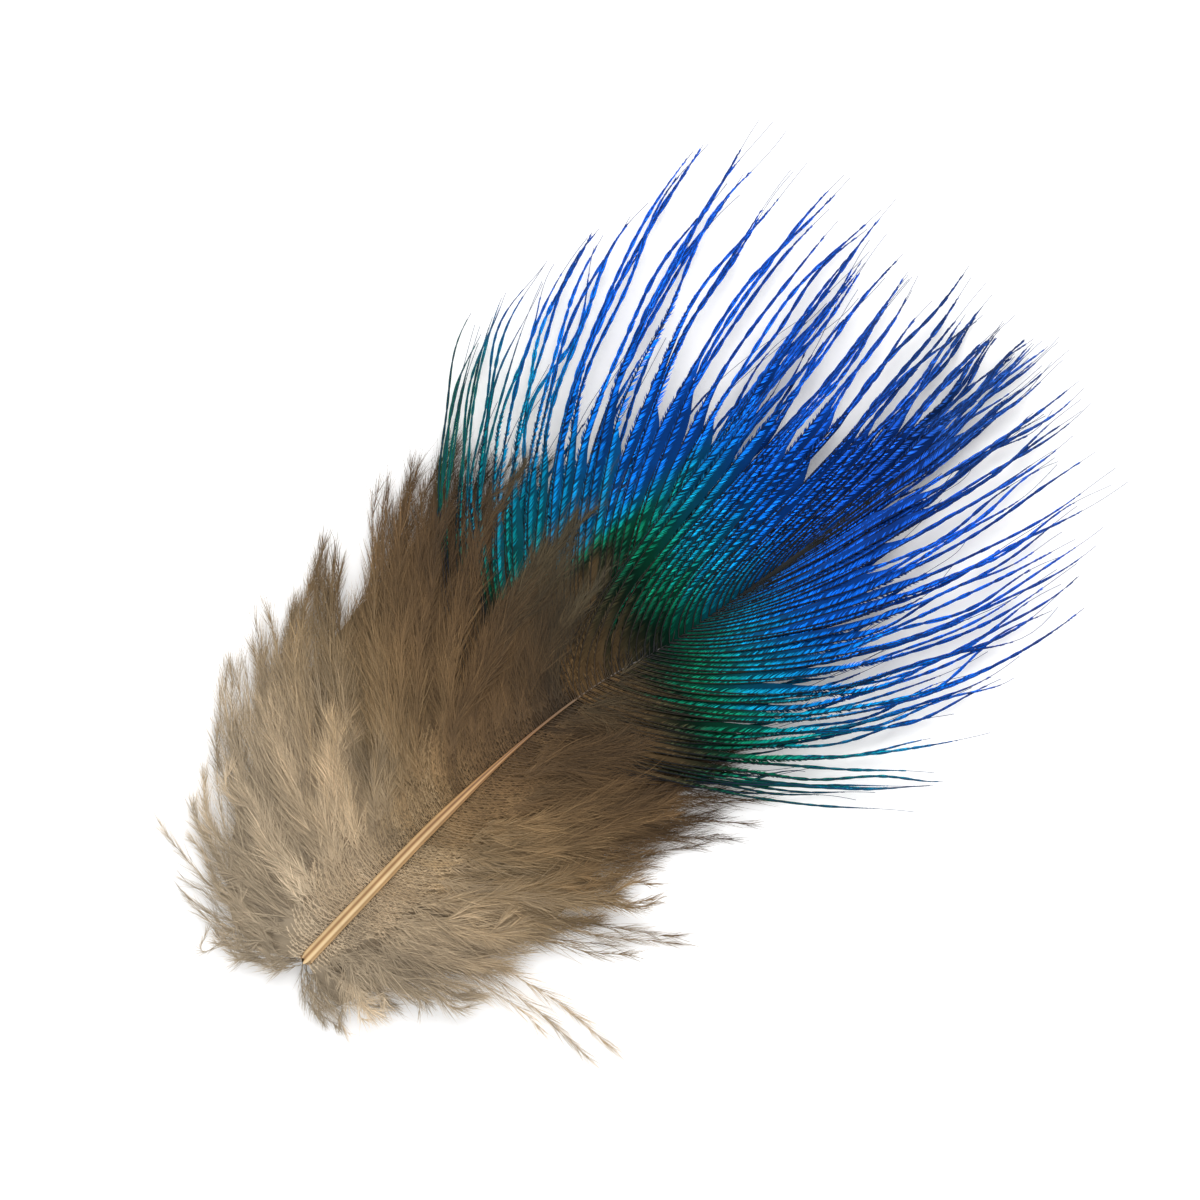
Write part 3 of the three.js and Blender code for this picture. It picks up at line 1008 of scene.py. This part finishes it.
def make_stage():
    """A plain white floor."""
    mesh = bpy.data.meshes.new("floor")
    mesh.from_pydata(FLOOR_CORNERS, [], [(0, 1, 2, 3)])
    floor = bpy.data.objects.new("floor", mesh)
    floor.location.z = -FLOOR_DROP
    bpy.context.scene.collection.objects.link(floor)
    material, _, shader = new_material("floor_white")
    shader.inputs["Base Color"].default_value = (0.97, 0.97, 0.97, 1)
    shader.inputs["Roughness"].default_value = 0.9
    shader.inputs["Emission Color"].default_value = (1, 1, 1, 1)
    shader.inputs["Emission Strength"].default_value = 0.1
    mesh.materials.append(material)


def area_light(name, place, size, power):
    """A soft box that faces the feather."""
    data = bpy.data.lights.new(name, "AREA")
    data.size = size
    data.energy = power
    light = bpy.data.objects.new(name, data)
    light.location = place
    away = np.array(place) / np.linalg.norm(place)
    light.rotation_euler = (math.acos(away[2]), 0, math.atan2(away[1], away[0]) + math.pi / 2)
    bpy.context.scene.collection.objects.link(light)


def make_light():
    """White surroundings and the soft boxes."""
    world = bpy.data.worlds.new("studio")
    world.use_nodes = True
    background = world.node_tree.nodes["Background"]
    background.inputs["Color"].default_value = (1, 1, 1, 1)
    background.inputs["Strength"].default_value = WORLD_STRENGTH
    bpy.context.scene.world = world
    for light in LIGHTS:
        area_light(*light)
    bpy.context.scene.view_settings.view_transform = "Standard"


def make_camera():
    """Straight above, rolled so that the quill points to the lower left."""
    data = bpy.data.cameras.new("camera")
    data.lens = LENS
    data.sensor_width = SENSOR
    camera = bpy.data.objects.new("camera", data)
    distance = VIEW_WIDTH * MM * LENS / SENSOR
    camera.location = (VIEW_CENTRE[0] * MM, VIEW_CENTRE[1] * MM, distance)
    camera.rotation_euler = (0, 0, math.radians(VIEW_ROLL))
    bpy.context.scene.collection.objects.link(camera)
    bpy.context.scene.camera = camera


VANE_SEED, LOWER_SEED, UPPER_SEED = 10, 20, 30

vane_materials = [barbule_material(), ramus_material()]
down_materials = [down_material("down_barbules", 1.04), down_material("down_ramus", 1.1)]
make_shaft([horn_material()])
for number, (name, side) in enumerate(SIDES.items()):
    make_vane(name, vane_materials, VANE_SEED + number)
    lower = [(side, LOW_DOWN), (side, STRAY_DOWN[name]), (side, COMBED_DOWN)]
    upper = [(side, MIDDLE_DOWN), (TUFTS[name], TUFT_DOWN)]
    make_down(f"{name}_down", lower, down_materials, LOWER_SEED + number, bed_side=side)
    make_down(f"{name}_fluff", upper, down_materials, UPPER_SEED + number)
make_stage()
make_light()
make_camera()
